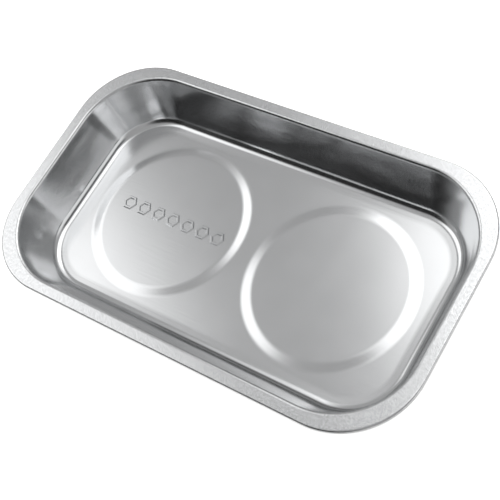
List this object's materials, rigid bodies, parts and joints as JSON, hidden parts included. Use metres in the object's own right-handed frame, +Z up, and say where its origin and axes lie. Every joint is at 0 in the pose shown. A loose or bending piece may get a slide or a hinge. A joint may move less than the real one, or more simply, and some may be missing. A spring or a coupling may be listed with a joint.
{
  "type": "magnetic parts tray",
  "caption": "Rectangular pressed stainless steel tray with rounded corners and raised round magnet seats, held down by rubber-covered ring magnets.",
  "frame": {"origin": "centre of the base, on the surface that the rubber covers stand on", "axes": "+X along the tray's length, +Y across it, +Z up out of the tray"},
  "size_m": [0.24, 0.14, 0.035],
  "materials": {
    "stainless_sheet": "bright pressed stainless steel: satin floor and flange, polished walls",
    "zinc_plated_steel": "bright zinc plate, lightly hazed",
    "ferrite": "ground sintered ferrite, dull charcoal",
    "black_rubber": "moulded matt black rubber"
  },
  "bodies": {
    "root": {"tray_pan": "stainless_sheet", "left_weld_stud": "zinc_plated_steel", "left_ring_magnet": "ferrite", "left_rubber_cover": "black_rubber", "left_clamp_plate": "zinc_plated_steel", "left_flat_washer": "zinc_plated_steel", "left_spring_washer": "zinc_plated_steel", "left_hex_nut": "zinc_plated_steel", "right_weld_stud": "zinc_plated_steel", "right_ring_magnet": "ferrite", "right_rubber_cover": "black_rubber", "right_clamp_plate": "zinc_plated_steel", "right_flat_washer": "zinc_plated_steel", "right_spring_washer": "zinc_plated_steel", "right_hex_nut": "zinc_plated_steel"}
  },
  "joints": []
}
